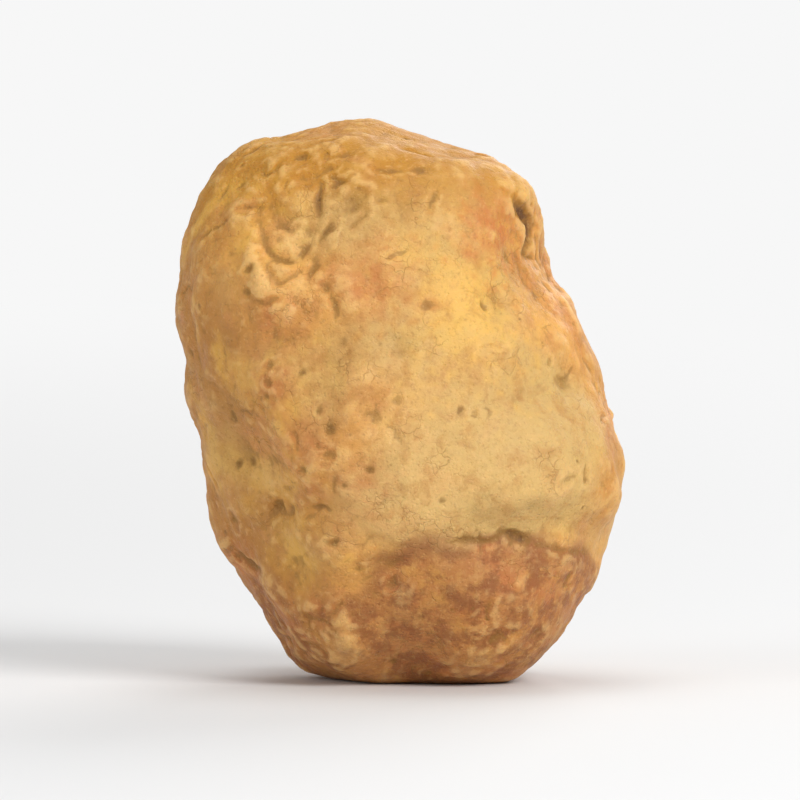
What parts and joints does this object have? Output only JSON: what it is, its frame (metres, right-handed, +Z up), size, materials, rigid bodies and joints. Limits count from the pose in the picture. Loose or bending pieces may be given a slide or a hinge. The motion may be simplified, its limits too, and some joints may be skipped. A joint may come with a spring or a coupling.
{
  "type": "white truffle",
  "caption": "Whole uncut white truffle, a lobed upright lump with furrows, dents and pitted ochre skin, resting on a small flat spot.",
  "frame": {"origin": "middle of the part's footprint box, on the plane of the flat spot that it rests on", "axes": "+Z up along the truffle's longest extent, -Y towards the front, +X to the right as seen from the front"},
  "size_m": [0.0226, 0.0206, 0.028],
  "materials": {
    "skin": "satin, slightly moist, golden ochre with rust blotches, pale smooth areas and dark creases and pits"
  },
  "bodies": {
    "root": {"truffle": "skin"}
  },
  "joints": []
}
